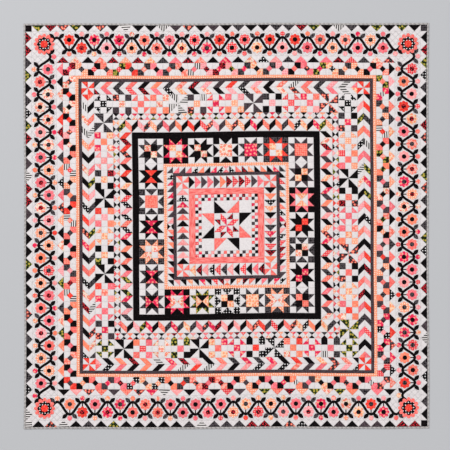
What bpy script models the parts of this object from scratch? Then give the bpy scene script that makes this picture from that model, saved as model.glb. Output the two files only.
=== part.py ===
"""A framed medallion patchwork quilt, lying flat.

The quilt is built outwards as a quilter sews it: a centre medallion, then one
border after another, each of two side strips and two longer strips across their
ends, and last a binding folded over the raw edge. Every strip is the whole
quilted thickness: flat below, and above it puffs up between the stitched seams.

Metres, +Z up. The origin is at the middle of the underside, +X runs to the
quilt's right and +Y to its top edge.
"""

from collections import namedtuple
import math

import bmesh
import bpy
from mathutils import Matrix, Vector

# Driving dimensions
WIDTH = 2.200
LENGTH = 2.206
BINDING_WIDTH = 0.010
FIELD_UNITS = 64

# Thickness: batting is pinched at a seam and stands at a crown between seams
SEAM_HEIGHT = 0.0026
CROWN_HEIGHT = 0.0040
BINDING_HEIGHT = 0.0052
SHOULDER = 0.006
PIECE_GAP = 0.0003

UNIT = (WIDTH - 2 * BINDING_WIDTH) / FIELD_UNITS
HALF_FIELD = FIELD_UNITS / 2
HALF_WIDTH = WIDTH / 2
PUFF_HEIGHT = CROWN_HEIGHT - SEAM_HEIGHT

# How far the hand-sewn seams stray from true. The middle is turned a little, the
# edges flare, lean and ripple, and the seams between them drift.
CENTRE_TURN = 0.011
TURN_FALLOFF = 2.2
EDGE_FLARE = 0.0030
EDGE_LEAN = 0.0016
EDGE_RISE = 0.0017
EDGE_RIPPLE = 0.0013
SIDE_EDGE_WAVES = 2.3
TOP_EDGE_WAVES = 2.1
INNER_DRIFT = 0.0025
SIDEWAYS_DRIFT_BEND = 2.6
SIDEWAYS_DRIFT_START = 0.7
UPWARDS_DRIFT_BEND = 2.9
UPWARDS_DRIFT_START = -0.4

# How unevenly the batting fills the quilt
LOFT_VARIATION = 0.0004
LOFT_BEND_ACROSS = 5.1
LOFT_BEND_UP = 4.3
LOFT_START_ACROSS = 1.3
LOFT_START_UP = -0.6

# Distances from the quilt's middle are in units. A border's seams are where its
# patchwork meets the plain frames sewn round it, and its block is the length of
# one patchwork block, or 0 where the quilting follows the border only lengthways.
Border = namedtuple("Border", "name inner seams outer block colour")
BORDERS = (
    Border("coral_frame", 5, (), 6, 0, (0.86, 0.28, 0.22)),
    Border("geese_border", 6, (8,), 8.5, 2, (0.55, 0.40, 0.39)),
    Border("sawtooth_border", 8.5, (9.5,), 10, 0, (0.90, 0.52, 0.36)),
    Border("star_border", 10, (), 14, 4, (0.78, 0.62, 0.60)),
    Border("black_frame", 14, (), 15, 0, (0.02, 0.02, 0.022)),
    Border("zigzag_border", 15, (), 17, 0, (0.50, 0.42, 0.42)),
    Border("hourglass_border", 17, (), 18, 0, (0.70, 0.55, 0.53)),
    Border("ninepatch_border", 18, (), 21, 3, (0.66, 0.46, 0.44)),
    Border("chevron_border", 21, (23, 23.5), 24, 0, (0.74, 0.50, 0.46)),
    Border("bowtie_border", 24, (), 26, 2, (0.80, 0.58, 0.52)),
    Border("dogtooth_border", 26, (), 27, 0, (0.62, 0.50, 0.49)),
    Border("vine_border", 27, (), 32, 0, (0.80, 0.78, 0.77)),
)
MEDALLION_HALF = 5
STAR_HALF = 4
STAR_SHOULDER = 0.012
STAR_CENTRE_PUFF = 0.6
MEDALLION_COLOUR = (0.80, 0.55, 0.52)

# The binding's profile over the raw edge, as shares of its width in from the rim
# and of its height
BindingPoint = namedtuple("BindingPoint", "inwards height")
BINDING_PROFILE = (
    BindingPoint(0.0, 0.15),
    BindingPoint(0.0, 0.5),
    BindingPoint(0.15, 0.82),
    BindingPoint(0.45, 1.0),
    BindingPoint(0.85, 0.88),
)
BACK_EDGE_ROUNDING = 0.0008
BINDING_COLOUR = (0.30, 0.29, 0.31)

# Each side as quarter turns from the top edge
SIDES = {"top": 0, "left": 1, "bottom": 2, "right": 3}
PLAIN_COLUMN = 4.0
BINDING_COLUMNS = 14
BLOCK_SHOULDER_SHARE = 0.2
LANE_SHOULDER_SHARE = 0.3
SHARP_ANGLE = math.radians(35)
FABRIC_ROUGHNESS = 0.85


def wander(x, y):
    """The point of the finished quilt that a true point of its plan lies at.

    Every term but the drift changes sign across the middle, and the drift ends
    at the edge, so the outline stays centred on the origin.
    """
    across = x / HALF_WIDTH
    up = y / HALF_WIDTH
    turn = CENTRE_TURN * math.exp(-TURN_FALLOFF * (across**2 + up**2))
    drift = INNER_DRIFT * (1 - across**2) * (1 - up**2)
    sideways = (
        EDGE_FLARE * across * up**2
        - EDGE_LEAN * up
        + EDGE_RIPPLE * math.sin(SIDE_EDGE_WAVES * math.pi * up)
        - turn * y
        + drift * math.cos(SIDEWAYS_DRIFT_BEND * up + SIDEWAYS_DRIFT_START)
    )
    upwards = (
        EDGE_RISE * across
        + EDGE_RIPPLE * math.sin(TOP_EDGE_WAVES * math.pi * across)
        + turn * x
        + drift * math.cos(UPWARDS_DRIFT_BEND * across + UPWARDS_DRIFT_START)
    )
    return x + sideways, y * LENGTH / WIDTH + upwards


def loft(x, y):
    """How much more, or less, the batting puffs up near a point."""
    across = math.sin(LOFT_BEND_ACROSS * x + LOFT_START_ACROSS)
    up = math.sin(LOFT_BEND_UP * y + LOFT_START_UP)
    return LOFT_VARIATION * across * up


def fabric(name, colour):
    """A woven cotton's plain material."""
    material = bpy.data.materials.new(name)
    material.use_nodes = True
    shader = material.node_tree.nodes["Principled BSDF"]
    shader.inputs["Base Color"].default_value = (*colour, 1.0)
    shader.inputs["Roughness"].default_value = FABRIC_ROUGHNESS
    shader.inputs["Metallic"].default_value = 0.0
    return material


def lane_points(seams):
    """Distances across a strip with how puffed it is there, from seam to seam."""
    points = [(seams[0], 0.0)]
    for low, high in zip(seams, seams[1:]):
        shoulder = min(SHOULDER, LANE_SHOULDER_SHARE * (high - low))
        points += [(low + shoulder, 1.0), (high - shoulder, 1.0), (high, 0.0)]
    return points


def plain_columns(half_length):
    """Even distances along a strip whose puff runs on from end to end."""
    count = 2 * math.ceil(half_length / PLAIN_COLUMN)
    step = 2 * half_length / count
    return [(-half_length + i * step, 1.0) for i in range(count + 1)]


def block_columns(half_length, block):
    """Distances along a strip with how puffed it is there, from block to block."""
    count = int(2 * half_length // block)
    edge = count * block / 2
    shoulder = BLOCK_SHOULDER_SHARE * block
    columns = []
    for i in range(count):
        low = -edge + i * block
        columns += [(low, 0.0), (low + shoulder, 1.0), (low + block - shoulder, 1.0)]
    columns.append((edge, 0.0))
    if edge < half_length:
        columns = [(-half_length, 0.0)] + columns + [(half_length, 0.0)]
    return columns


def strip_columns(half_length, block):
    """A strip's columns in metres, drawn in at each end by half the gap."""
    columns = block_columns(half_length, block) if block else plain_columns(half_length)
    columns = [(at * UNIT, puff) for at, puff in columns]
    columns[0] = (columns[0][0] + PIECE_GAP / 2, columns[0][1])
    columns[-1] = (columns[-1][0] - PIECE_GAP / 2, columns[-1][1])
    return columns


def swept_strip(section, columns):
    """A closed strip along X: the section's outline carried through each column.

    The section is a ring of (distance across, height, puff) and the columns are
    (distance along, puff). The two puffs multiply, so both seams' ditches show.
    """
    mesh = bmesh.new()
    puffs = mesh.verts.layers.float.new("puff")
    ring = [mesh.verts.new((0.0, across, height)) for across, height, _ in section]
    for vertex, (_, _, puff) in zip(ring, section):
        vertex[puffs] = puff
    edges = [mesh.edges.new((a, b)) for a, b in zip(ring, ring[1:] + ring[:1])]
    bmesh.ops.spin(
        mesh, geom=ring + edges, cent=(0, 0, 0), axis=(1, 0, 0), dvec=(1, 0, 0),
        angle=0.0, steps=len(columns) - 1, use_merge=False, use_duplicate=False,
    )
    ends = [edge for edge in mesh.edges if edge.is_boundary]
    bmesh.ops.holes_fill(mesh, edges=ends, sides=0)
    bmesh.ops.recalc_face_normals(mesh, faces=mesh.faces)
    for vertex in mesh.verts:
        along, column_puff = columns[round(vertex.co.x)]
        vertex.co.x = along
        vertex.co.z += vertex[puffs] * column_puff * PUFF_HEIGHT
    return mesh


def border_section(border):
    """The outline across a border's strip, from its underside round over its top."""
    low = border.inner * UNIT + PIECE_GAP / 2
    high = border.outer * UNIT - PIECE_GAP / 2
    seams = [low, *(seam * UNIT for seam in border.seams), high]
    top = [(across, SEAM_HEIGHT, puff) for across, puff in lane_points(seams)]
    return [(high, 0.0, 0.0), (low, 0.0, 0.0)] + top


def binding_section():
    """The outline across the binding: flat below and rolled over the edge."""
    low = HALF_FIELD * UNIT + PIECE_GAP / 2
    width = HALF_WIDTH - low
    under = [(low, 0.0, 0.0), (HALF_WIDTH - BACK_EDGE_ROUNDING, 0.0, 0.0)]
    over = [
        (HALF_WIDTH - point.inwards * width, point.height * BINDING_HEIGHT, 0.0)
        for point in BINDING_PROFILE
    ]
    return under + over + [(low, SEAM_HEIGHT, 0.0)]


def place(name, mesh, centre, quarter_turns, colour, parent, collection):
    """Puts a strip on its side of the quilt, drawn out of true as it was sewn."""
    turned = Matrix.Rotation(quarter_turns * math.pi / 2, 4, "Z")
    stands = turned @ centre
    for vertex in mesh.verts:
        true = turned @ vertex.co
        lift = loft(true.x, true.y) if vertex.co.z > SEAM_HEIGHT else 0.0
        x, y = wander(true.x, true.y)
        strayed = Vector((x, y, true.z + lift)) - stands
        vertex.co = turned.inverted() @ strayed
    data = bpy.data.meshes.new(name)
    mesh.to_mesh(data)
    mesh.free()
    data.materials.append(fabric(name + "_cotton", colour))
    data.shade_smooth()
    data.set_sharp_from_angle(angle=SHARP_ANGLE)
    piece = bpy.data.objects.new(name, data)
    piece.location = stands
    piece.rotation_euler = (0, 0, quarter_turns * math.pi / 2)
    piece.parent = parent
    collection.objects.link(piece)


def medallion_lines():
    """Distances across the medallion with how puffed it is there.

    They run from the outer seam over the ring of small squares to the star
    block's seam and its middle, and the same way out again.
    """
    edge = MEDALLION_HALF * UNIT - PIECE_GAP / 2
    star = STAR_HALF * UNIT
    half = [
        (-edge, 0.0),
        (-edge + SHOULDER, 1.0),
        (-star - SHOULDER, 1.0),
        (-star, 0.0),
        (-star + STAR_SHOULDER, 1.0),
    ]
    return half + [(0.0, STAR_CENTRE_PUFF)] + [(-at, puff) for at, puff in reversed(half)]


def add_medallion(parent, collection):
    """The centre panel: a star block inside a ring of small squares."""
    lines = medallion_lines()
    count = len(lines) - 1
    mesh = bmesh.new()
    bmesh.ops.create_grid(mesh, x_segments=count, y_segments=count, size=count / 2)
    bmesh.ops.translate(mesh, verts=mesh.verts, vec=(0, 0, SEAM_HEIGHT))
    solid = bmesh.ops.extrude_face_region(mesh, geom=mesh.faces[:])
    for part in solid["geom"]:
        if isinstance(part, bmesh.types.BMVert):
            part.co.z = 0.0
    bmesh.ops.recalc_face_normals(mesh, faces=mesh.faces)
    for vertex in mesh.verts:
        across, across_puff = lines[round(vertex.co.x + count / 2)]
        up, up_puff = lines[round(vertex.co.y + count / 2)]
        if vertex.co.z > 0:
            vertex.co.z += across_puff * up_puff * PUFF_HEIGHT
        vertex.co.x = across
        vertex.co.y = up
    place("centre_medallion", mesh, Vector((0, 0, 0)), 0, MEDALLION_COLOUR, parent, collection)


def add_border(border, parent, collection):
    """A border's four strips: the top and bottom ones run across the side ones."""
    middle = Vector((0, (border.inner + border.outer) / 2 * UNIT, 0))
    for side, turns in SIDES.items():
        half_length = border.outer if side in ("top", "bottom") else border.inner
        columns = strip_columns(half_length, border.block)
        strip = swept_strip(border_section(border), columns)
        place(f"{border.name}_{side}", strip, middle, turns, border.colour, parent, collection)


def add_binding(parent, collection):
    """The binding's four sides, mitred where they meet."""
    middle = Vector((0, HALF_WIDTH - BINDING_WIDTH / 2, 0))
    shares = [-1 + 2 * i / BINDING_COLUMNS for i in range(BINDING_COLUMNS + 1)]
    for side, turns in SIDES.items():
        strip = swept_strip(binding_section(), [(share, 0.0) for share in shares])
        for vertex in strip.verts:
            vertex.co.x *= vertex.co.y - PIECE_GAP / 2
        place(f"binding_{side}", strip, middle, turns, BINDING_COLOUR, parent, collection)


def build_quilt():
    """The whole quilt, its strips parented to one empty at the origin."""
    for thing in list(bpy.data.objects):
        bpy.data.objects.remove(thing)
    collection = bpy.data.collections.new("patchwork_quilt")
    bpy.context.scene.collection.children.link(collection)
    quilt = bpy.data.objects.new("patchwork_quilt", None)
    collection.objects.link(quilt)
    add_medallion(quilt, collection)
    for border in BORDERS:
        add_border(border, quilt, collection)
    add_binding(quilt, collection)


build_quilt()
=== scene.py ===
from collections import namedtuple
import itertools
import math
import random

import bmesh
import bpy
from mathutils import Color, Matrix, Vector, noise
from mathutils.bvhtree import BVHTree


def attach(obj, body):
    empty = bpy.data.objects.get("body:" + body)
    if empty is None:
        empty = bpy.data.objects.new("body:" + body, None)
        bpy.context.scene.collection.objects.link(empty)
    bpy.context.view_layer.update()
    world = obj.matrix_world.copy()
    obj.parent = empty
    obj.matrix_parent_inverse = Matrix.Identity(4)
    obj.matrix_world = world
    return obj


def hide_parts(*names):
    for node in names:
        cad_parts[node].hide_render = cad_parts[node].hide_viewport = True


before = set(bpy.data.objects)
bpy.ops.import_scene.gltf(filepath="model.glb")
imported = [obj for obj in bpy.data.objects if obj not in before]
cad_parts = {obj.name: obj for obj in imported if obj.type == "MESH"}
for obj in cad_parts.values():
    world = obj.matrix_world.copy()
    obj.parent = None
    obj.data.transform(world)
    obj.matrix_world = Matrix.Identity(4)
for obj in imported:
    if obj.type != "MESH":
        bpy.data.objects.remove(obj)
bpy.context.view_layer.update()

# The centre medallion. One pieced panel: a rising star, which is a small star set
# in a larger one, inside a ring of half-size checks. It is hand-pieced from small
# prints and quilted in the ditch, so every patch puffs up between its seams.

# The quilt's plan is a grid of units inside the binding, each two half-unit cells across
WIDTH = 2.200
LENGTH = 2.206
BINDING_WIDTH = 0.010
FIELD_UNITS = 64
UNIT = (WIDTH - 2 * BINDING_WIDTH) / FIELD_UNITS
UNIT_CELLS = 2
HALF_WIDTH = WIDTH / 2
SEAM_HEIGHT = 0.0026

# The sides, with the quarter turns from the top that bring a strip to each
SIDES = {"top": 0, "left": 1, "bottom": 2, "right": 3}
QUARTER = math.pi / 2

# How far the hand-sewn seams stray from true, as in the solids
CENTRE_TURN = 0.011
TURN_FALLOFF = 2.2
EDGE_FLARE = 0.0030
EDGE_LEAN = 0.0016
EDGE_RISE = 0.0017
EDGE_RIPPLE = 0.0013
SIDE_EDGE_WAVES = 2.3
TOP_EDGE_WAVES = 2.1
INNER_DRIFT = 0.0025
SIDEWAYS_DRIFT_BEND = 2.6
SIDEWAYS_DRIFT_START = 0.7
UPWARDS_DRIFT_BEND = 2.9
UPWARDS_DRIFT_START = -0.4

# How far a stitch strays on its own, and how the batting lifts and puckers a patch.
# Without a seed of its own, the noise would stray differently each time
STRAY_SEED = 5
STRAY_STITCH = 0.0006
STRAY_REACH = 0.045
STRAY_EASE = 0.02
PUCKER_RISE = 0.00045
PUCKER_REACH = 0.028
BILLOW_RISE = 0.0011
BILLOW_REACH = 0.13
Ring = namedtuple("Ring", "inwards rise")
PUFF_RINGS = (Ring(0.0009, 0.00055), Ring(0.0019, 0.00050), Ring(0.0026, 0.00025))
PUFF_RISE = sum(ring.rise for ring in PUFF_RINGS)
WELD = 0.00002
SEAM_CREASE = math.radians(45)

# The cottons' plain weave, slubs and crinkle, in millimetres, and how much each lifts
# the cloth, or a stitch dents it
MILLIMETRES = 1000.0
THREAD = 0.42
SLUB = 2.6
CRINKLE = 9.0
THREAD_LIFT = 0.12
SLUB_LIFT = 0.25
CRINKLE_LIFT = 1.8
STITCH_DENT = 1.2
BUMP_STRENGTH = 0.8
BUMP_DEPTH = 0.0010

# How unevenly they take dye, how a slub tones it, how much painted shade darkens a stitch and a seam,
# and their finish
DYE_SPREAD = 0.20
EVEN_DYE_SPREAD = 0.05
SLUB_SHADE = 0.10
# Painted shade: how much a stitch's dent darkens the colour
PAINTED_STITCH_SHADE = 0.12
# Painted shade: the share of a patch's colour left at a seam, which darkens the ditch
PAINTED_SEAM_LIGHT = 0.82
ROUGHNESS = 0.82
SLUB_ROUGHNESS = 0.12
FINISH = {"Sheen Weight": 0.02, "Sheen Roughness": 0.5, "Specular IOR Level": 0.08}

# The sizes of printed rings and flowers, as shares of the pitch they are set at
RING_OUTSIDE = 0.40
RING_INSIDE = 0.25
RING_DOT = 0.11
BLOOM_PETALS = 5
BLOOM_REACH = 0.40
BLOOM_WAIST = 0.60
BLOOM_EYE = 0.12
LEAVES_TO_A_BLOOM = 2.6
PRINTED_LEAF = 0.24

# A Mix node's sockets for colours go by number: those for numbers have the same names
MIX_SHARE, MIX_GROUND, MIX_COLOUR, MIX_RESULT = 0, 6, 7, 2

# A patch is cut at its own place and turn of its print's yardage
Patch = namedtuple("Patch", "print turn right up dye", defaults=(0.0, 0.0, 0.0, 0.5))
SCRAPS_SEED = 5
GRAIN_SLIP = 0.05
YARD = 0.9


def dye(red, green, blue):
    """A dye's linear colour from its everyday red, green and blue, 0 to 255."""
    return (*Color((red / 255, green / 255, blue / 255)).from_srgb_to_scene_linear(), 1.0)


class Ink:
    """One socket of a print's nodes, which can be added to, scaled and compared."""

    def __init__(self, tree, socket=None):
        self.tree = tree
        self.socket = socket

    def node(self, kind, settings, inputs, output=0):
        """One output of a new node, with its settings and its inputs' values or links."""
        made = self.tree.nodes.new("ShaderNode" + kind)
        for name, value in settings.items():
            setattr(made, name, value)
        for name, value in inputs.items():
            if isinstance(value, Ink):
                self.tree.links.new(value.socket, made.inputs[name])
            else:
                made.inputs[name].default_value = value
        return Ink(self.tree, made.outputs[output])

    def math(self, operation, *values):
        return self.node("Math", {"operation": operation}, dict(enumerate(values)))

    def __add__(self, other):
        return self.math("ADD", self, other)

    __radd__ = __add__

    def __sub__(self, other):
        return self.math("SUBTRACT", self, other)

    def __rsub__(self, other):
        return self.math("SUBTRACT", other, self)

    def __mul__(self, other):
        return self.math("MULTIPLY", self, other)

    __rmul__ = __mul__

    def __truediv__(self, other):
        return self.math("DIVIDE", self, other)

    def scaled(self, size):
        """A colour or a place, times one number."""
        return self.node("VectorMath", {"operation": "SCALE"}, {0: self, "Scale": size})

    def part(self, axis):
        return self.node("SeparateXYZ", {}, {0: self}, output=axis)

    def below(self, limit, softness):
        """1 where this is under the limit and 0 over it, with a soft edge between."""
        return self.node(
            "MapRange", {},
            {"Value": self, "From Min": limit - softness, "From Max": limit + softness,
             "To Min": 1.0, "To Max": 0.0},
        )

    def over(self, ground, colour):
        """Where this mask is 1, the colour, and elsewhere the ground."""
        inputs = {MIX_SHARE: self, MIX_GROUND: ground, MIX_COLOUR: colour}
        return self.node("Mix", {"data_type": "RGBA"}, inputs, output=MIX_RESULT)

    def clouds(self, size, detail=3.0, roughness=0.6, distortion=0.0):
        """Soft noise over the yardage, from 0 to 1, with lumps of this size."""
        return self.node(
            "TexNoise", {"noise_dimensions": "2D"},
            {"Vector": self, "Scale": 1 / size, "Detail": detail, "Roughness": roughness,
             "Distortion": distortion},
        )

    def spots(self, pitch, unevenness, output="Distance"):
        """Distance to the nearest of many spots set this far apart, as a share of that."""
        return self.node(
            "TexVoronoi", {"voronoi_dimensions": "2D"},
            {"Vector": self, "Scale": 1 / pitch, "Randomness": unevenness}, output,
        )

    def wave(self, pitch):
        """A smooth wave from 0 to 1 and back over each pitch."""
        return 0.5 + 0.5 * self.math("COSINE", self * (2 * math.pi / pitch))


def cotton(name, draw, stitches=None, spread=DYE_SPREAD):
    """A printed cotton: draw(yardage) gives its colour, and its plain weave is added.

    The yardage is in millimetres, and batches of it differ in depth by the spread.
    Stitches, where given, dent the cloth and darken its colour with painted shade. Painted shade also
    darkens the colour towards every seam.
    """
    material = bpy.data.materials.new(name)
    material.use_nodes = True
    tree = material.node_tree
    shader = tree.nodes["Principled BSDF"]
    ink = Ink(tree)
    yardage = ink.node("UVMap", {"uv_map": "cloth"}, {}).scaled(MILLIMETRES)
    colour = draw(yardage)
    batch = ink.node("Attribute", {"attribute_name": "dye"}, {}, output="Fac")
    puff = ink.node("Attribute", {"attribute_name": "puff"}, {}, output="Fac")
    slub = yardage.clouds(SLUB)
    tone_and_painted_shade = 1 + spread * (batch - 0.5) + SLUB_SHADE * (slub - 0.5)
    # Painted shade: the colour darkens towards each seam, where the puff share falls to 0
    tone_and_painted_shade = tone_and_painted_shade * (PAINTED_SEAM_LIGHT + (1 - PAINTED_SEAM_LIGHT) * puff)
    threads = yardage.part("X").wave(THREAD) * yardage.part("Y").wave(THREAD)
    crinkle = yardage.clouds(CRINKLE, detail=2.0)
    relief = THREAD_LIFT * threads + SLUB_LIFT * slub + CRINKLE_LIFT * crinkle
    if stitches:
        stitched = stitches(yardage)
        relief = relief - STITCH_DENT * stitched
        # Painted shade in each stitch's dent
        tone_and_painted_shade = tone_and_painted_shade * (1 - PAINTED_STITCH_SHADE * stitched)
    bump = ink.node("Bump", {}, {"Strength": BUMP_STRENGTH, "Distance": BUMP_DEPTH, "Height": relief})
    roughness = ROUGHNESS + SLUB_ROUGHNESS * slub
    tree.links.new(colour.scaled(tone_and_painted_shade).socket, shader.inputs["Base Color"])
    tree.links.new(roughness.socket, shader.inputs["Roughness"])
    tree.links.new(bump.socket, shader.inputs["Normal"])
    for setting, value in FINISH.items():
        shader.inputs[setting].default_value = value
    return material


def mottled(ground, mark, size, share=0.5):
    """A tone-on-tone cotton: soft cloudy marks of this size over a ground."""
    def draw(yardage):
        clouds = yardage.clouds(size, detail=4.0, distortion=0.8)
        return clouds.below(share, softness=0.09).over(dye(*ground), dye(*mark))
    return draw


def ringed(ground, mark, pitch):
    """Small rings, each with a dot in it, set close together."""
    def draw(yardage):
        spot = yardage.spots(pitch, unevenness=0.35)
        disc = spot.below(RING_OUTSIDE, softness=0.04)
        hole = spot.below(RING_INSIDE, softness=0.04)
        dot = spot.below(RING_DOT, softness=0.03)
        return (disc - hole + dot).over(dye(*ground), dye(*mark))
    return draw


def dotted(ground, dot, pitch, radius, unevenness=0.15):
    """Round dots in nearly even rows, or scattered as flecks."""
    def draw(yardage):
        dots = yardage.spots(pitch, unevenness).below(radius / pitch, softness=0.03)
        return dots.over(dye(*ground), dye(*dot))
    return draw


def blossoming(ground, petal, eye, leaf, pitch):
    """Five-petalled flowers with a round eye, scattered among small leaves."""
    def draw(yardage):
        middle = yardage.spots(pitch, unevenness=0.75, output="Position")
        bloom = yardage.node("VectorMath", {"operation": "SUBTRACT"}, {0: yardage, 1: middle})
        right = bloom.part("X") / pitch
        up = bloom.part("Y") / pitch
        reach = yardage.math("SQRT", right * right + up * up)
        angle = yardage.math("ARCTAN2", up, right)
        lobes = yardage.math("ABSOLUTE", yardage.math("COSINE", BLOOM_PETALS / 2 * angle))
        off_leaf = yardage.spots(pitch / LEAVES_TO_A_BLOOM, unevenness=1.0)
        leaves = off_leaf.below(PRINTED_LEAF, softness=0.04)
        petals = (reach / (BLOOM_WAIST + (1 - BLOOM_WAIST) * lobes)).below(BLOOM_REACH, softness=0.04)
        eyes = reach.below(BLOOM_EYE, softness=0.03)
        return eyes.over(petals.over(leaves.over(dye(*ground), dye(*leaf)), dye(*petal)), dye(*eye))
    return draw


def wander(x, y):
    """The point of the finished quilt that a true point of its plan lies at."""
    across = x / HALF_WIDTH
    up = y / HALF_WIDTH
    turn = CENTRE_TURN * math.exp(-TURN_FALLOFF * (across**2 + up**2))
    drift = INNER_DRIFT * (1 - across**2) * (1 - up**2)
    sideways = (
        EDGE_FLARE * across * up**2
        - EDGE_LEAN * up
        + EDGE_RIPPLE * math.sin(SIDE_EDGE_WAVES * math.pi * up)
        - turn * y
        + drift * math.cos(SIDEWAYS_DRIFT_BEND * up + SIDEWAYS_DRIFT_START)
    )
    upwards = (
        EDGE_RISE * across
        + EDGE_RIPPLE * math.sin(TOP_EDGE_WAVES * math.pi * across)
        + turn * x
        + drift * math.cos(UPWARDS_DRIFT_BEND * across + UPWARDS_DRIFT_START)
    )
    return x + sideways, y * LENGTH / WIDTH + upwards


block_numbers = itertools.count()


def sewn(chart, prints, size=UNIT_CELLS):
    """A block's chart as rows of half-unit cells, each (left part, slant, right part).

    A chart's row is words, one for each square of the block: a letter is a whole
    square, a/b or a\\b is two triangles with a on the left, and four letters are the
    quarters at the top, right, bottom and left. Each square is size cells across.
    Squares of one capital that touch are one patch, and a small letter's are each
    a patch of its own. A part is (its patch's key, its print or prints).
    """
    block = next(block_numbers)
    rows = []
    for row, line in enumerate(chart):
        words = line.split()
        for i in range(size):
            cells = []
            for column, word in enumerate(words):
                parts = []
                for place, letter in enumerate(word.replace("/", "").replace("\\", "")):
                    own = None if letter.isupper() else (row, column, place)
                    parts.append(((block, letter, own), prints[letter]))
                cells += [cell_of(word, parts, i, j, size) for j in range(size)]
            rows.append(cells)
    return rows


def cell_of(word, parts, i, j, size):
    """The half-unit cell in row i and column j of one square of a chart."""
    rises = i + j - (size - 1)
    falls = j - i
    if len(parts) == 4:
        top, right, bottom, left = parts
        if falls == 0:
            return (left, "\\", top) if rises < 0 else (bottom, "\\", right)
        if rises == 0:
            return (top, "/", right) if falls > 0 else (left, "/", bottom)
        upper, lower = (top, right) if falls > 0 else (left, bottom)
        whole = upper if rises < 0 else lower
    elif len(parts) == 2:
        beyond = rises if "/" in word else falls
        if beyond == 0:
            return parts[0], word[1], parts[1]
        whole = parts[1] if beyond > 0 else parts[0]
    else:
        whole = parts[0]
    return whole, None, whole


def beside(*blocks):
    """Blocks of one height as one row of blocks, left to right."""
    return [sum(lines, []) for lines in zip(*blocks)]


def new_cloth():
    """An empty mesh for cloth: faces know their patch and dye, and points their puff."""
    cloth = bmesh.new()
    cloth.faces.layers.int.new("patch")
    cloth.faces.layers.float.new("dye")
    cloth.verts.layers.float.new("puff")
    cloth.loops.layers.uv.new("cloth")
    return cloth


def cut_patch(choice, scraps):
    """Cuts one patch from its print, or from any of several. A patch stays as it is."""
    if isinstance(choice, Patch):
        return choice
    chosen = scraps.choice(choice) if isinstance(choice, list) else choice
    turn = scraps.randrange(4) * QUARTER + scraps.uniform(-GRAIN_SLIP, GRAIN_SLIP)
    return Patch(chosen, turn, scraps.uniform(0, YARD), scraps.uniform(0, YARD), scraps.random())


def piece_together(cells, left, bottom, scraps):
    """A flat cloth of patches, on the quilt's plan, and the list of its patches."""
    cloth = new_cloth()
    number = cloth.faces.layers.int["patch"]
    across = len(cells[0])
    up = len(cells)
    bmesh.ops.create_grid(cloth, x_segments=across, y_segments=up, size=0.5)
    parts = {}
    for face in cloth.faces[:]:
        middle = face.calc_center_median()
        row = up - 1 - int((middle.y + 0.5) * up)
        left_part, slant, right_part = cells[row][int((middle.x + 0.5) * across)]
        if slant is None:
            parts[face] = left_part
            continue
        corners = sorted(face.verts, key=lambda vertex: (vertex.co.x, vertex.co.y))
        ends = (corners[0], corners[3]) if slant == "/" else (corners[1], corners[2])
        other, _ = bmesh.utils.face_split(face, *ends)
        for half in (face, other):
            parts[half] = left_part if half.calc_center_median().x < middle.x else right_part
    patches = []
    for face in cloth.faces:
        face[number] = -1
    for face, (key, choice) in parts.items():
        if face[number] >= 0:
            continue
        growing = [face]
        face[number] = len(patches)
        while growing:
            for edge in growing.pop().edges:
                for other in edge.link_faces:
                    if other[number] < 0 and parts[other][0] == key:
                        other[number] = len(patches)
                        growing.append(other)
        patches.append(cut_patch(choice, scraps))
    for vertex in cloth.verts:
        vertex.co.x = (left + (vertex.co.x + 0.5) * across / UNIT_CELLS) * UNIT
        vertex.co.y = (bottom + (vertex.co.y + 0.5) * up / UNIT_CELLS) * UNIT
        vertex.co.z = SEAM_HEIGHT
    return cloth, patches


def puff_up(cloth, rings=PUFF_RINGS):
    """Sews every patch down along its edge, so that its middle puffs up."""
    number = cloth.faces.layers.int["patch"]
    puff = cloth.verts.layers.float["puff"]
    ditches = [
        edge for edge in cloth.edges
        if len(edge.link_faces) == 2 and edge.link_faces[0][number] != edge.link_faces[1][number]
    ]
    bmesh.ops.split_edges(cloth, edges=ditches)
    puffed = cloth.faces[:]
    whole_rise = sum(ring.rise for ring in rings)
    for ring in rings:
        bmesh.ops.inset_region(
            cloth, faces=puffed, use_boundary=True, use_even_offset=True, thickness=ring.inwards
        )
        for vertex in {vertex for face in puffed for vertex in face.verts}:
            vertex.co.z += ring.rise
            # The puff share, 0 at a seam and 1 on top, also sets the painted seam shade
            vertex[puff] += ring.rise / whole_rise
    bmesh.ops.remove_doubles(cloth, verts=cloth.verts, dist=WELD)


BACKING = cotton("backing_cotton", mottled((238, 228, 224), (241, 208, 200), size=11.0))


def close_behind(cloth, patches, back):
    """Takes a cloth's rim straight down to the floor and closes it with a flat back."""
    number = cloth.faces.layers.int["patch"]
    puff = cloth.verts.layers.float["puff"]
    rim = [edge for edge in cloth.edges if edge.is_boundary]
    walls = bmesh.ops.extrude_edge_only(cloth, edges=rim)["geom"]
    low_edges = [item for item in walls if isinstance(item, bmesh.types.BMEdge)]
    for vertex in (item for item in walls if isinstance(item, bmesh.types.BMVert)):
        vertex.co.z = 0
        vertex[puff] = 1.0
    backs = bmesh.ops.holes_fill(cloth, edges=low_edges, sides=0)["faces"]
    backs += [item for item in walls if isinstance(item, bmesh.types.BMFace)]
    patches.append(back)
    for face in backs:
        face[number] = len(patches) - 1


def lay_on_yardage(cloth, patches):
    """Gives every face its place on its print's yardage, and its batch of dye."""
    number = cloth.faces.layers.int["patch"]
    batch = cloth.faces.layers.float["dye"]
    yardage = cloth.loops.layers.uv["cloth"]
    for face in cloth.faces:
        patch = patches[face[number]]
        face[batch] = patch.dye
        turned = Matrix.Rotation(patch.turn, 2)
        for loop in face.loops:
            loop[yardage].uv = turned @ loop.vert.co.xy + Vector((patch.right, patch.up))


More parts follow.
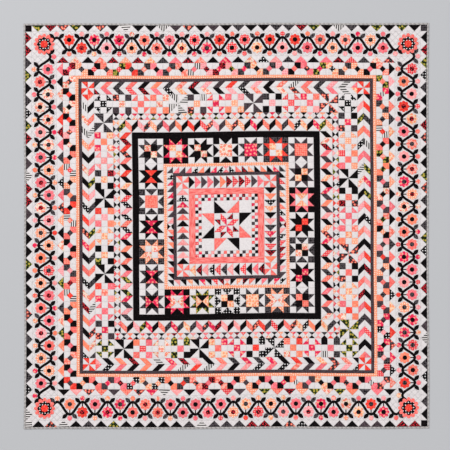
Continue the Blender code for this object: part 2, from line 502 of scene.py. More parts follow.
def let_stray(cloth, turn, height_under):
    """Turns a cloth to its side of the quilt, where it strays from true and billows.

    With a height under it, the cloth lies on that instead of on the floor.
    """
    turned = Matrix.Rotation(turn, 3, "Z")
    for vertex in cloth.verts:
        true = turned @ vertex.co
        plan = Vector((true.x, true.y, 0))
        lifted = min(1.0, max(0.0, true.z - SEAM_HEIGHT) / PUFF_RISE)
        pucker = PUCKER_RISE * lifted * noise.noise(plan / PUCKER_REACH)
        billow = BILLOW_RISE * min(1.0, true.z / SEAM_HEIGHT) * noise.noise(plan / BILLOW_REACH)
        stray = STRAY_STITCH * noise.noise_vector(plan / STRAY_REACH)
        stray *= min(1.0, (1 - max(abs(true.x), abs(true.y)) / HALF_WIDTH) / STRAY_EASE)
        x, y = wander(true.x, true.y)
        x, y = x + stray.x, y + stray.y
        rise = height_under(x, y) - SEAM_HEIGHT if height_under else pucker + billow
        vertex.co = (x, y, true.z + rise)


def finish_piece(name, cloth, patches, side, back=None, height_under=None):
    """Closes a cloth, takes it to its place on a side and makes it a piece of the quilt."""
    number = cloth.faces.layers.int["patch"]
    turn = SIDES[side] * QUARTER
    close_behind(cloth, patches, back or Patch(BACKING, turn))
    lay_on_yardage(cloth, patches)
    let_stray(cloth, turn, height_under)
    bmesh.ops.recalc_face_normals(cloth, faces=cloth.faces)
    used = sorted({patches[face[number]].print.name for face in cloth.faces})
    for face in cloth.faces:
        face.material_index = used.index(patches[face[number]].print.name)
        face.smooth = True
    data = bpy.data.meshes.new(name)
    cloth.to_mesh(data)
    cloth.free()
    for print_name in used:
        data.materials.append(bpy.data.materials[print_name])
    data.set_sharp_from_angle(angle=SEAM_CREASE)
    piece = bpy.data.objects.new(name, data)
    bpy.context.scene.collection.objects.link(piece)
    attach(piece, "root")
    return piece


GROUND_DRAWING = mottled((229, 223, 223), (218, 211, 212), size=9.0)
GROUND = cotton("grey_white_cotton", GROUND_DRAWING, spread=EVEN_DYE_SPREAD)
SALMON = cotton("salmon_cotton", mottled((249, 104, 98), (255, 152, 142), size=9.0, share=0.44))
PINK = cotton("pink_cotton", mottled((244, 102, 114), (253, 154, 158), size=9.0, share=0.44))
CORAL_RINGS = cotton("coral_ring_cotton", ringed((246, 92, 80), (255, 178, 158), pitch=11.0))
BLUSH = cotton("blush_cotton", mottled((252, 148, 148), (255, 192, 190), size=9.0, share=0.44))
RED_DOT = cotton("red_dot_cotton", dotted((236, 46, 58), (255, 190, 184), pitch=10.0, radius=2.8))
MAGENTA_FLORAL = cotton("magenta_floral_cotton", blossoming(
    ground=(232, 44, 84), petal=(255, 128, 140), eye=(255, 214, 90), leaf=(198, 24, 60), pitch=18.0,
))
BLACK = cotton("black_cotton", mottled((6, 4, 5), (34, 24, 27), size=8.0, share=0.38))
BLACK_RINGS = cotton("black_ring_cotton", ringed((11, 9, 11), (104, 96, 100), pitch=12.0))
CHARCOAL = cotton("charcoal_cotton", mottled((84, 71, 76), (32, 25, 28), size=6.0, share=0.46))
RED_FLECK = cotton("black_red_fleck_cotton", dotted(
    (14, 10, 12), (212, 44, 56), pitch=9.0, radius=2.9, unevenness=0.8,
))

# Patches are cut from these by chance, and more often from a print listed twice
corals = [SALMON, PINK, CORAL_RINGS, BLUSH, RED_DOT, MAGENTA_FLORAL]
blacks = [BLACK, BLACK, BLACK_RINGS, CHARCOAL, RED_FLECK]

MEDALLION_HALF = 5
CHECKS_DEEP = 2
CHECK_LETTERS = "wcwb"
RISING_STAR = (
    r"Q   Q   A\G G   G   G/B Q   Q  ",
    r"Q   Q   A   A\G G/B B   Q   Q  ",
    r"H\C C   q   a\M M/b q   E   E/I",
    r"H   H\C N\c v\u v/u e/O E/I I  ",
    r"H   H/D N/d u/v u\v f\O F\I I  ",
    r"H/D D   q   k/P P\l q   F   F\I",
    r"Q   Q   K   K/J J\L L   Q   Q  ",
    r"Q   Q   K/J J   J   J\L Q   Q  ",
)
RISING_STAR_PRINTS = {
    **dict.fromkeys("QqGHIJMNOPv", GROUND),
    **dict.fromkeys("ADEL", BLACK),
    **dict.fromkeys("BCFK", SALMON),
    **dict.fromkeys("adel", RED_DOT),
    **dict.fromkeys("bcfk", RED_FLECK),
    "u": MAGENTA_FLORAL,
}


def checks(columns, rows):
    """Rows of half-unit squares, light and dark in turn."""
    chart = []
    for row in range(rows):
        letters = (CHECK_LETTERS[(column + row) % len(CHECK_LETTERS)] for column in range(columns))
        chart.append(" ".join(letters))
    return sewn(chart, {"w": GROUND, "c": corals, "b": blacks}, size=1)


noise.seed_set(STRAY_SEED)
scraps = random.Random(SCRAPS_SEED)
star = sewn(RISING_STAR, RISING_STAR_PRINTS)
flanked = beside(checks(CHECKS_DEEP, len(star)), star, checks(CHECKS_DEEP, len(star)))
cells = checks(len(flanked[0]), CHECKS_DEEP) + flanked + checks(len(flanked[0]), CHECKS_DEEP)
cloth, patches = piece_together(cells, -MEDALLION_HALF, -MEDALLION_HALF, scraps)
puff_up(cloth)
medallion = finish_piece("centre_medallion_patchwork", cloth, patches, "top")
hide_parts("centre_medallion")

# The coral frame. Plain strips of one coral cotton with faint lengthwise streaks, cut on
# the straight grain. They are seamed to the medallion, the side strips first and then
# the top and bottom across their ends, as in every border round it.

Border = namedtuple("Border", "name inner outer")
END_SIDES = ("top", "bottom")
CORAL_FRAME = Border("coral_frame", 5, 6)


def half_run(border, side):
    """Half the length of a border's strip, in units. Top and bottom run past the sides."""
    return border.outer if side in END_SIDES else border.inner


def flat_size(border, side):
    """The finished size of a border's strip, lying flat."""
    return 2 * half_run(border, side) * UNIT, (border.outer - border.inner) * UNIT


def cells_along(border, side):
    """How many half-unit cells long a border's strip is."""
    return round(2 * UNIT_CELLS * half_run(border, side))


def sew_strip(border, side, cells, scraps):
    """Makes the patchwork of one strip of a border from its rows of cells."""
    cloth, patches = piece_together(cells, -half_run(border, side), border.inner, scraps)
    puff_up(cloth)
    node = border.name + "_" + side
    piece = finish_piece(node + "_patchwork", cloth, patches, side)
    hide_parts(node)
    flat_size(border, side)


def plain(fabric, columns, rows):
    """A strip cut in one piece, along the cloth's straight grain."""
    whole = (("plain", fabric.name), Patch(fabric))
    return [[(whole, None, whole)] * columns for _ in range(rows)]


def sew_plain_strip(border, side, fabric, scraps):
    """Makes one strip of a border from a single length of cloth."""
    rows = UNIT_CELLS * (border.outer - border.inner)
    sew_strip(border, side, plain(fabric, cells_along(border, side), rows), scraps)


def streaked(ground, streak, pitch, stretch):
    """Soft streaks along the cloth, this many times as long as they are wide."""
    def draw(yardage):
        stretched = yardage.node(
            "VectorMath", {"operation": "MULTIPLY"}, {0: yardage, 1: (1 / stretch, 1.0, 1.0)}
        )
        return stretched.clouds(pitch).below(0.5, softness=0.12).over(dye(*ground), dye(*streak))
    return draw


CORAL_STREAKS = cotton(
    "coral_streak_cotton", streaked((234, 94, 90), (255, 150, 144), pitch=7.0, stretch=6.0)
)

for side in SIDES:
    sew_plain_strip(CORAL_FRAME, side, CORAL_STREAKS, scraps)

# The flying geese border. Black and coral geese, 34 by 68 mm, fly round the quilt on
# the pale ground, with pinwheels at the corners. Every goose is a triangle between two
# half-size ones, and a plain charcoal strip is sewn round them.

ORANGE = cotton("orange_coral_cotton", mottled((254, 126, 96), (255, 168, 144), size=9.0, share=0.42))
BLACK_DOT = cotton("black_dot_cotton", dotted((8, 6, 8), (240, 236, 236), pitch=15.0, radius=3.0))
SPRIG_FLORAL = cotton("sprig_floral_cotton", blossoming(
    ground=(254, 202, 182), petal=(250, 104, 96), eye=(255, 232, 110), leaf=(232, 206, 92), pitch=15.0,
))
corals += [ORANGE, SPRIG_FLORAL]
blacks += [BLACK_DOT, BLACK]
GEESE_BORDER = Border("geese_border", 6, 8.5)
GEESE_RUN = 2 * UNIT_CELLS * GEESE_BORDER.inner
GEESE = (r"B\w C\w ", r"B/w C/w ")
GEESE_PRINTS = {"w": GROUND, "B": blacks, "C": corals}
PINWHEEL = (r"w\b w/b", r"b/w b\w")


def repeated(lines, prints, columns):
    """Rows of cells from a pattern's lines, over and over for this many columns."""
    return [row[:columns] for row in sewn([line * columns for line in lines], prints)]


def framed(rows, fabric, with_ends):
    """Rows of cells with a half-unit strip sewn along their outer side.

    With ends, a strip is sewn past both ends of the rows first.
    """
    if with_ends:
        end = plain(fabric, 1, len(rows))
        rows = beside(end, rows, end)
    return plain(fabric, len(rows[0]), 1) + rows


def pinwheel(blade, size=UNIT_CELLS):
    """Four triangles that turn about the middle of a square block."""
    return sewn(PINWHEEL, {"w": GROUND, "b": blade}, size)


for side in SIDES:
    cells = repeated(GEESE, GEESE_PRINTS, GEESE_RUN)
    if side in END_SIDES:
        cells = beside(pinwheel(SALMON), cells, pinwheel(SALMON))
    cells = framed(cells, CHARCOAL, side in END_SIDES)
    sew_strip(GEESE_BORDER, side, cells, scraps)

# The sawtooth border. Squares of 34 mm, each of a pale triangle sewn to a black or coral
# one. The teeth point towards squares cut in four at the middle of each side, and a
# plain peach strip is sewn round them.

PEACH = cotton("peach_cotton", dotted(
    (253, 156, 122), (255, 226, 208), pitch=12.0, radius=3.0, unevenness=0.3,
))
BLUSH_RINGS = cotton("blush_ring_cotton", ringed((250, 136, 144), (255, 208, 206), pitch=10.0))
corals += [PEACH, BLUSH_RINGS]
SAWTOOTH_BORDER = Border("sawtooth_border", 8.5, 10)
SAWTOOTH_PAIRS = 4
SIDE_MIDDLE = "bwbw"
END_MIDDLE = r"w/b cwcw b\w"

for side in SIDES:
    middle = END_MIDDLE if side in END_SIDES else SIDE_MIDDLE
    chart = r"w/b w/c " * SAWTOOTH_PAIRS + middle + r" c\w b\w" * SAWTOOTH_PAIRS
    cells = sewn([chart], {"w": GROUND, "c": corals, "b": blacks})
    cells = framed(cells, PEACH, side in END_SIDES)
    sew_strip(SAWTOOTH_BORDER, side, cells, scraps)

# The star border. Eight-pointed stars, 136 mm across, pieced from triangles and squares:
# black stars on the pale ground, and between them a coral or a pale one on black. Each
# has a square heart of one floral or coral print, which may be cut in four.

ROSE_FLORAL = cotton("rose_floral_cotton", blossoming(
    ground=(255, 214, 205), petal=(240, 80, 82), eye=(255, 226, 160), leaf=(176, 190, 96), pitch=19.0,
))
RED = cotton("red_coral_cotton", mottled((238, 50, 44), (252, 118, 94), size=8.0, share=0.42))
LIME_FLORAL = cotton("black_lime_floral_cotton", blossoming(
    ground=(12, 10, 11), petal=(158, 168, 66), eye=(240, 74, 70), leaf=(62, 78, 28), pitch=17.0,
))
corals += [ROSE_FLORAL, RED]
blacks += [LIME_FLORAL, BLACK, BLACK_RINGS]
STAR_BORDER = Border("star_border", 10, 14)
STAR_UNITS = 4
STAR_CENTRES = (("C C", "C C"), ("c d", "d c"), (r"C\D D/C", r"C/D D\C"))
STAR_HEARTS = (ROSE_FLORAL, SPRIG_FLORAL, MAGENTA_FLORAL, CORAL_RINGS, RED)


def star_block(ground, points, centre, contrast, scraps):
    """A star with eight points round a square centre, which may be cut in four."""
    upper, lower = scraps.choice(STAR_CENTRES)
    chart = (
        r"w S\G G/S w",
        r"G\S " + upper + r" S/G",
        r"G/S " + lower + r" S\G",
        r"w S/G G\S w",
    )
    prints = {"w": ground, "G": ground, "S": points}
    return sewn(chart, {**prints, **dict.fromkeys("Cc", centre), **dict.fromkeys("Dd", contrast)})


for side in SIDES:
    stars = []
    for number in range(2 * half_run(STAR_BORDER, side) // STAR_UNITS):
        heart = scraps.choice(STAR_HEARTS)
        if number % 4 == 1:
            stars.append(star_block(scraps.choice(blacks), scraps.choice(corals), heart, GROUND, scraps))
        elif number % 4 == 3:
            stars.append(star_block(scraps.choice(blacks), GROUND, heart, BLACK, scraps))
        else:
            stars.append(star_block(GROUND, scraps.choice(blacks), heart, BLACK, scraps))
    sew_strip(STAR_BORDER, side, beside(*stars), scraps)

# The black frame. Plain strips of one black cotton with a faint tonal print, cut on the
# straight grain and seamed round the stars, to close the inner half of the quilt.

BLACK_FRAME = Border("black_frame", 14, 15)

for side in SIDES:
    sew_plain_strip(BLACK_FRAME, side, BLACK, scraps)

# The zigzag border. Slanting patches meet in a zigzag, which climbs in black and falls
# in coral every 68 mm, between triangles of the pale ground. Each slant is sewn to its
# triangles first, and then these are sewn side by side.

BLACK_FLORAL = cotton("black_rose_floral_cotton", blossoming(
    ground=(18, 15, 17), petal=(240, 92, 88), eye=(255, 214, 150), leaf=(120, 112, 112), pitch=18.0,
))
blacks += [BLACK_FLORAL, BLACK]
ZIGZAG_BORDER = Border("zigzag_border", 15, 17)
ZIGZAG = (r"O/B D\O ", r"B/I I\D ")
ZIGZAG_PRINTS = {"O": GROUND, "I": GROUND, "B": blacks, "D": corals}

for side in SIDES:
    cells = repeated(ZIGZAG, ZIGZAG_PRINTS, cells_along(ZIGZAG_BORDER, side))
    sew_strip(ZIGZAG_BORDER, side, cells, scraps)

# The hourglass border. Squares of 34 mm cut in four from corner to corner and sewn up
# again in two colours, black or coral above and below and pale at the sides.


def striped(ground, stripe, pitch):
    """Even printed stripes along the cloth's length."""
    def draw(yardage):
        return yardage.part("X").wave(pitch).below(0.5, softness=0.10).over(dye(*ground), dye(*stripe))
    return draw


STRIPE = cotton("black_white_stripe_cotton", striped((20, 17, 19), (234, 228, 226), pitch=12.0))
HOURGLASS_BORDER = Border("hourglass_border", 17, 18)
HOURGLASSES = "bwbw cwcw "
HOURGLASS_PRINTS = {"w": GROUND, "b": blacks, "c": corals}

for side in SIDES:
    cells = repeated([HOURGLASSES], HOURGLASS_PRINTS, cells_along(HOURGLASS_BORDER, side))
    sew_strip(HOURGLASS_BORDER, side, cells, scraps)

# The nine-patch border. Blocks of 102 mm, pieced one by one and then sewn side by side:
# nine-patches of small squares, and between them shoo-flies and pinwheels in one print
# each.

CORAL_FLORAL = cotton("coral_floral_cotton", blossoming(
    ground=(248, 110, 98), petal=(255, 196, 182), eye=(240, 60, 62), leaf=(252, 150, 120), pitch=16.0,
))
corals += [CORAL_FLORAL, PINK]
blacks += [STRIPE]
NINEPATCH_BORDER = Border("ninepatch_border", 18, 21)
NINEPATCH = ("b w b", "w c w", "b w b")
SHOOFLY = (r"w/c w c\w", "w c w", r"w\c w c/w")
BLOCKS = 2 * NINEPATCH_BORDER.inner // len(NINEPATCH)

for side in SIDES:
    blocks = []
    for number in range(BLOCKS):
        if number % 2 == 0:
            outside = corals if number % 4 == 2 else blacks
            blocks.append(sewn(NINEPATCH, {"w": GROUND, "b": outside, "c": corals}))
        elif number % 4 == 1:
            blocks.append(sewn(SHOOFLY, {"w": GROUND, "c": scraps.choice(corals)}))
        else:
            blocks.append(pinwheel(scraps.choice(blacks), size=3))
    if side in END_SIDES:
        corner = {"w": GROUND, "c": scraps.choice(blacks)}
        blocks = [sewn(SHOOFLY, corner), *blocks, sewn(SHOOFLY, corner)]
    sew_strip(NINEPATCH_BORDER, side, beside(*blocks), scraps)

# The chevron border. Slanting patches meet along the middle in chevrons, black, pale
# and coral in turn, with pinwheels at the corners. A plain charcoal strip and then a
# peach one are sewn round them.

CHEVRON_BORDER = Border("chevron_border", 21, 24)
CHEVRON_RUN = 2 * UNIT_CELLS * CHEVRON_BORDER.inner
CHEVRONS = (r"B/G G/C C/H H/B ", r"E\J J\D D\L L\E ")
CHEVRON_PRINTS = {
    **dict.fromkeys("GHJL", GROUND),
    **dict.fromkeys("BE", blacks),
    **dict.fromkeys("CD", corals),
}

for side in SIDES:
    cells = repeated(CHEVRONS, CHEVRON_PRINTS, CHEVRON_RUN)
    if side in END_SIDES:
        cells = beside(pinwheel(RED), cells, pinwheel(RED))
    cells = framed(cells, CHARCOAL, side in END_SIDES)
    cells = framed(cells, PEACH, side in END_SIDES)
    sew_strip(CHEVRON_BORDER, side, cells, scraps)

# The bow-tie border. Blocks of 68 mm, each a tie of one print with a knot of another
# pieced in at its middle, turned one way and the other along the border.

BOWTIE_BORDER = Border("bowtie_border", 24, 26)
BOWTIE = ("W W T T", r"W W/K K\T T", r"T T\K K/W W", "T T W W")
TURNED_BOWTIE = ("T T W W", r"T T/K K\W W", r"W W\K K/T T", "W W T T")

for side in SIDES:
    blocks = []
    for number in range(cells_along(BOWTIE_BORDER, side) // len(BOWTIE)):
        tie, knot = (corals, blacks) if number % 2 else (blacks, corals)
        prints = {"W": GROUND, "T": scraps.choice(tie), "K": scraps.choice(knot)}
        blocks.append(sewn((BOWTIE, TURNED_BOWTIE)[number % 2], prints, size=1))
    sew_strip(BOWTIE_BORDER, side, beside(*blocks), scraps)

# The dogtooth border. Low triangles, 68 by 34 mm, black and coral in turn, stand on
# the bow ties and point out into the wide border, with pale ones sewn between them.

DOGTOOTH_BORDER = Border("dogtooth_border", 26, 27)
DOGTEETH = r"G/B B\G G/C C\G "
DOGTOOTH_PRINTS = {"G": GROUND, "B": blacks, "C": corals}

for side in SIDES:
    cells = repeated([DOGTEETH], DOGTOOTH_PRINTS, cells_along(DOGTOOTH_BORDER, side))
    sew_strip(DOGTOOTH_BORDER, side, cells, scraps)

# The binding. A strip of fine black and white stripe cut across the cloth, folded
# over the raw edges, sewn down by hand and mitred at the corners.

BINDING_HEIGHT = 0.0052
Turn = namedtuple("Turn", "outwards height")
BINDING_TURNS = (
    Turn(0.0, SEAM_HEIGHT / BINDING_HEIGHT),
    Turn(0.06, 0.78),
    Turn(0.25, 0.93),
    Turn(0.55, 1.0),
    Turn(0.80, 0.90),
    Turn(0.95, 0.66),
    Turn(1.0, 0.40),
)
BINDING_STEPS = 4 * FIELD_UNITS
BINDING_SLANT = 0.12
BINDING_STRIPE = cotton("binding_stripe_cotton", striped((20, 17, 19), (232, 226, 224), pitch=7.0))

for side in SIDES:
    cloth = new_cloth()
    puff = cloth.verts.layers.float["puff"]
    bmesh.ops.create_grid(cloth, x_segments=BINDING_STEPS, y_segments=len(BINDING_TURNS) - 1, size=0.5)
    for vertex in cloth.verts:
        turn = BINDING_TURNS[round((vertex.co.y + 0.5) * (len(BINDING_TURNS) - 1))]
        y = FIELD_UNITS / 2 * UNIT + turn.outwards * BINDING_WIDTH
        vertex.co = (2 * vertex.co.x * y, y, turn.height * BINDING_HEIGHT)
        # The binding's inner edge, at its seam, takes the painted seam shade
        vertex[puff] = 1.0 if turn.outwards else 0.0
    folded = Patch(BINDING_STRIPE, BINDING_SLANT)
    node = "binding_" + side
    finish_piece(node + "_folded", cloth, [folded], side, back=folded)
    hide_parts(node)

# The vine border. A wide border of the pale cotton, quilted by hand in a diamond grid of
# 24 mm, with black teeth pieced along its outer edge. A black vine, leaves and round
# flowers are cut from cotton and sewn on, with their edges turned under.

VINE_BORDER = Border("vine_border", 27, 32)
TEETH_ALONG = VINE_BORDER.outer - 1
FIELD_ROWS = UNIT_CELLS * (VINE_BORDER.outer - VINE_BORDER.inner - 1)

# The quilting and its stitches, in millimetres, and how much of a stitch shows
DIAMOND = UNIT * MILLIMETRES
STITCH = 3.0
STITCH_WIDTH = 0.5
STITCH_SHOWN = 0.55


def quilted_diamonds(yardage):
    """Running stitches and the gaps between them, along the diamond grid."""
    rising = yardage.part("X") + yardage.part("Y")
    falling = yardage.part("X") - yardage.part("Y")
    marks = []
    for line, along in ((rising, falling), (falling, rising)):
        stitch = along.wave(STITCH * math.sqrt(2)).below(STITCH_SHOWN, softness=0.1)
        quilted = yardage.math("PINGPONG", line, DIAMOND / 2).below(STITCH_WIDTH, softness=0.2)
        marks.append(quilted * stitch)
    return yardage.math("MAXIMUM", *marks)


QUILTED_GROUND = cotton("quilted_grey_white_cotton", GROUND_DRAWING, quilted_diamonds)
WHOLE_GROUND = Patch(QUILTED_GROUND)


def diamonds(columns, rows):
    """Cells of one whole cloth, quilted in diamonds about every other grid point."""
    cells = []
    for row in range(rows):
        line = []
        for column in range(columns):
            if (row + column) % 2:
                slant, first, second = "/", (row, column), (row + 1, column + 1)
            else:
                slant, first, second = "\\", (row + 1, column), (row, column + 1)
            line.append(((first, WHOLE_GROUND), slant, (second, WHOLE_GROUND)))
        cells.append(line)
    return cells


TEETH_PRINTS = {"G": WHOLE_GROUND, "B": blacks}
OUTER_TOOTH = r"G\B B/G "
START_TEETH = (r"B\G", r"B/G") * 2
END_TEETH = (r"G/B", r"G\B") * 2

vine_cloths = {}
for side in SIDES:
    run = cells_along(VINE_BORDER, side)
    if side in END_SIDES:
        edge = sewn(["B " + OUTER_TOOTH * TEETH_ALONG + "B"], TEETH_PRINTS)
        field = diamonds(run - 2 * UNIT_CELLS, FIELD_ROWS)
        field = beside(sewn(START_TEETH, TEETH_PRINTS), field, sewn(END_TEETH, TEETH_PRINTS))
    else:
        edge = repeated([OUTER_TOOTH], TEETH_PRINTS, run)
        field = diamonds(run, FIELD_ROWS)
    start = -half_run(VINE_BORDER, side)
    cloth, patches = piece_together(edge + field, start, VINE_BORDER.inner, scraps)
    puff_up(cloth)
    node = VINE_BORDER.name + "_" + side
    vine_cloths[side] = finish_piece(node + "_cloth", cloth, patches, side)
    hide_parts(node)

points = []
corners = []
for cloth_piece in vine_cloths.values():
    corners += [[len(points) + index for index in face.vertices] for face in cloth_piece.data.polygons]
    points += [vertex.co for vertex in cloth_piece.data.vertices]
border_surface = BVHTree.FromPolygons(points, corners)
APPLIQUE_CLEAR = 0.0002
FEEL = 0.003


def height_on_border(x, y):
    """Height of the quilted cloth about a point, where a cloth sewn on it lies."""
    heights = [SEAM_HEIGHT]
    for right, up in ((0, 0), (FEEL, 0), (-FEEL, 0), (0, FEEL), (0, -FEEL)):
        touched = border_surface.ray_cast(Vector((x + right, y + up, 1.0)), Vector((0, 0, -1)))[0]
        if touched:
            heights.append(touched.z)
    return max(heights) + APPLIQUE_CLEAR


# Places along the border are in units, and the vine waves about its middle line
APPLIQUE_RINGS = (Ring(0.0008, 0.00045), Ring(0.0015, 0.00025))
LAYER_RISE = 0.0006
VINE_MIDDLE = 29
VINE_HALF_LENGTH = 28
VINE_PERIOD = 4
VINE_SWING = 1.0
VINE_WIDTH = 0.014
VINE_STEPS = 12
RIBBON_STEP = 0.001
STEM_WIDTH = 0.0065
STEM_STEPS = 4
FLOWER_DROP = 0.64
FLOWER_RADIUS = 0.92
FLOWER_PETALS = 8
PETAL_STEPS = 6
PETAL_NOTCH = 0.22
PETAL_ROUNDNESS = 0.7
EYE_RADIUS = 0.38
LEAF_STEPS = 16
LEAF_LENGTH = 1.15
LEAF_WIDTH = 0.62
LEAF_FOOT = 0.35
LEAF_SPREAD = 0.80
LEAF_POINT = 0.6
BERRY_STEPS = 14
BERRY_RADIUS = 0.38
BERRY_RISE = 0.58
CRESTS = 4 * VINE_HALF_LENGTH // VINE_PERIOD
LEAF_PRINTS = [BLACK, BLACK, BLACK, BLACK_RINGS]
EYE_PRINTS = [BLACK, BLACK, BLACK_RINGS, RED_FLECK]
CornerRound = namedtuple("CornerRound", "radius petals print")
CORNER_ROUNDS = (
    CornerRound(1.70, 12, SALMON),
    CornerRound(1.18, 8, BLACK_DOT),
    CornerRound(0.62, 8, RED),
)


def vine_swing(x):
    """How far the vine lies out from its middle line, in units."""
    return VINE_SWING * math.sin(2 * math.pi * x / VINE_PERIOD)


def along_vine(share):
    """The vine's line from one end to the other, in units."""
    x = (2 * share - 1) * VINE_HALF_LENGTH
    return Vector((x, VINE_MIDDLE + vine_swing(x)))


def straight(start, end):
    """A straight line between two places, in units."""
    return lambda share: Vector(start).lerp(Vector(end), share)


def smooth_rim(angle):
    """The rim of a berry or an eye: the same reach at every angle."""
    return 1.0


def petalled(petals):
    """A flower's rim: its reach towards each angle, as a share of its radius."""
    return lambda angle: 1 - PETAL_NOTCH * (1 - abs(math.cos(petals * angle / 2)) ** PETAL_ROUNDNESS)


def cut_one_more(patches, prints, scraps):
    """Cuts one more patch for a cloth, and gives its number."""
    patches.append(cut_patch(prints, scraps))
    return len(patches) - 1


def mark_patch(cloth, corners, patch):
    """Marks the faces about some corners as one patch."""
    number = cloth.faces.layers.int["patch"]
    for face in {face for corner in corners for face in corner.link_faces}:
        face[number] = patch


def new_disc(cloth, segments):
    """A flat round of cloth, as the points of its middle and rim."""
    disc = bmesh.ops.create_circle(cloth, segments=segments, radius=1, cap_ends=True, cap_tris=True)
    return disc["verts"]


def lay_round(cloth, patch, place, radius, layer, rim=smooth_rim, segments=BERRY_STEPS):
    """Lays a round shape, its place and radius in units, over as many layers of others."""
    made = new_disc(cloth, segments)
    middle = Vector((*place, 0)) * UNIT + Vector((0, 0, SEAM_HEIGHT + layer * LAYER_RISE))
    for vertex in made:
        reach = radius * UNIT * rim(math.atan2(vertex.co.y, vertex.co.x))
        vertex.co = middle + reach * vertex.co
    mark_patch(cloth, made, patch)


def lay_leaf(cloth, patch, foot, turn):
    """Lays a pointed leaf with its foot at a place and its tip turned away."""
    made = new_disc(cloth, LEAF_STEPS)
    turned = Matrix.Rotation(turn, 2)
    for vertex in made:
        length = LEAF_LENGTH / 2 * (1 + vertex.co.x)
        width = LEAF_WIDTH / 2 * vertex.co.y * abs(vertex.co.y) ** LEAF_POINT
        place = (Vector(foot) + turned @ Vector((length, width))) * UNIT
        vertex.co = (*place, SEAM_HEIGHT)
    mark_patch(cloth, made, patch)


def lay_ribbon(cloth, patch, steps, width, line):
    """Lays a narrow ribbon of cotton along a line, which goes from 0 to 1."""
    made = bmesh.ops.create_grid(cloth, x_segments=steps, y_segments=2, size=0.5)["verts"]
    for vertex in made:
        share = vertex.co.x + 0.5
        along = (line(share + RIBBON_STEP) - line(share - RIBBON_STEP)).normalized()
        place = line(share) * UNIT + Vector((-along.y, along.x)) * vertex.co.y * width
        vertex.co = (*place, SEAM_HEIGHT)
    mark_patch(cloth, made, patch)


def lay_flower(cloth, patches, place, stem_top, scraps):
    """Lays a flower on its stem, with a round eye over its petals."""
    stem = cut_one_more(patches, BLACK, scraps)
    lay_ribbon(cloth, stem, STEM_STEPS, STEM_WIDTH, straight(stem_top, place))
    petals = cut_one_more(patches, corals, scraps)
    rim = petalled(FLOWER_PETALS)
    lay_round(cloth, petals, place, FLOWER_RADIUS, 1, rim, PETAL_STEPS * FLOWER_PETALS)
    eye = cut_one_more(patches, EYE_PRINTS, scraps)
    lay_round(cloth, eye, place, EYE_RADIUS, 2)


def lay_corner(cloth, patches, place, scraps):
    """Lays the layers of a corner's large flower, the widest first."""
    for layer, corner in enumerate(CORNER_ROUNDS, start=1):
        patch = cut_one_more(patches, corner.print, scraps)
        rim = petalled(corner.petals)
        lay_round(cloth, patch, place, corner.radius, layer, rim, PETAL_STEPS * corner.petals)


for side in SIDES:
    cloth = new_cloth()
    patches = []
    vine = cut_one_more(patches, BLACK, scraps)
    lay_ribbon(cloth, vine, VINE_STEPS * VINE_HALF_LENGTH, VINE_WIDTH, along_vine)
    for crest in range(CRESTS):
        x = -VINE_HALF_LENGTH + (crest + 0.5) * VINE_PERIOD / 2
        out = math.copysign(1, vine_swing(x))
        crest_y = VINE_MIDDLE + vine_swing(x)
        if 0 < crest < CRESTS - 1:
            lay_flower(cloth, patches, (x, VINE_MIDDLE - out * FLOWER_DROP), (x, crest_y), scraps)
        for hand in (-1, 1):
            foot_x = x + hand * LEAF_FOOT
            foot = (foot_x, VINE_MIDDLE + vine_swing(foot_x))
            leaf = cut_one_more(patches, LEAF_PRINTS, scraps)
            lay_leaf(cloth, leaf, foot, out * (QUARTER - hand * LEAF_SPREAD))
        berry = cut_one_more(patches, corals, scraps)
        lay_round(cloth, berry, (x, crest_y + out * BERRY_RISE), BERRY_RADIUS, 1)
    if side in END_SIDES:
        for hand in (-1, 1):
            lay_corner(cloth, patches, (hand * VINE_MIDDLE, VINE_MIDDLE), scraps)
    # Each cut shape's turned edge takes the painted seam shade, which is darkest at its rim
    puff_up(cloth, APPLIQUE_RINGS)
    applique = finish_piece(
        VINE_BORDER.name + "_" + side + "_applique", cloth, patches, side,
        height_under=height_on_border,
    )
    flat_size(VINE_BORDER, side)

# The floor, the lights and the camera. The quilt lies on a plain pale floor, under two
# large softboxes that light it evenly. The camera looks straight down on its face.

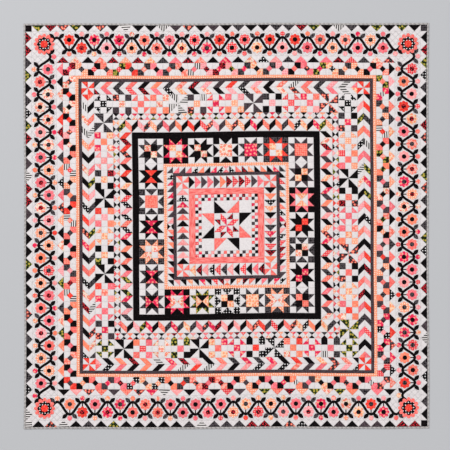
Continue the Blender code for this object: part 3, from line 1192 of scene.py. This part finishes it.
FLOOR_SIZE = 120.0
FLOOR_DEPTH = 0.0005
FLOOR_COLOUR = dye(186, 187, 190)
FLOOR_ROUGHNESS = 0.9
ROOM_COLOUR = (1.0, 1.0, 1.0, 1.0)
ROOM_LIGHT = 0.45
Softbox = namedtuple("Softbox", "name place size watts")
SOFTBOXES = (
    Softbox("key_light", place=(-7.0, 8.0, 8.6), size=5.1, watts=1230),
    Softbox("fill_light", place=(7.4, -5.2, 10.6), size=9.0, watts=710),
)
CAMERA_LENS = 60.0
CAMERA_PLACE = (-0.0076, 0.0054, 4.084)

floor_mesh = bmesh.new()
bmesh.ops.create_grid(floor_mesh, x_segments=1, y_segments=1, size=FLOOR_SIZE / 2)
floor_data = bpy.data.meshes.new("floor")
floor_mesh.to_mesh(floor_data)
floor_mesh.free()
floor = bpy.data.objects.new("floor", floor_data)
bpy.context.scene.collection.objects.link(floor)
floor.location.z = -FLOOR_DEPTH
floor_material = bpy.data.materials.new("floor_paint")
floor_material.use_nodes = True
floor_shader = floor_material.node_tree.nodes["Principled BSDF"]
floor_shader.inputs["Base Color"].default_value = FLOOR_COLOUR
floor_shader.inputs["Roughness"].default_value = FLOOR_ROUGHNESS
floor_data.materials.append(floor_material)

for softbox in SOFTBOXES:
    light_data = bpy.data.lights.new(softbox.name, "AREA")
    light_data.shape = "SQUARE"
    light_data.size = softbox.size
    light_data.energy = softbox.watts
    light = bpy.data.objects.new(softbox.name, light_data)
    light.location = softbox.place
    light.rotation_euler = (-Vector(softbox.place)).to_track_quat("-Z", "Y").to_euler()
    bpy.context.scene.collection.objects.link(light)

room = bpy.data.worlds.new("studio")
room.use_nodes = True
room.node_tree.nodes["Background"].inputs["Color"].default_value = ROOM_COLOUR
room.node_tree.nodes["Background"].inputs["Strength"].default_value = ROOM_LIGHT
bpy.context.scene.world = room
bpy.context.scene.view_settings.view_transform = "Standard"

camera_data = bpy.data.cameras.new("camera")
camera_data.lens = CAMERA_LENS
camera = bpy.data.objects.new("camera", camera_data)
camera.location = CAMERA_PLACE
bpy.context.scene.collection.objects.link(camera)
bpy.context.scene.camera = camera
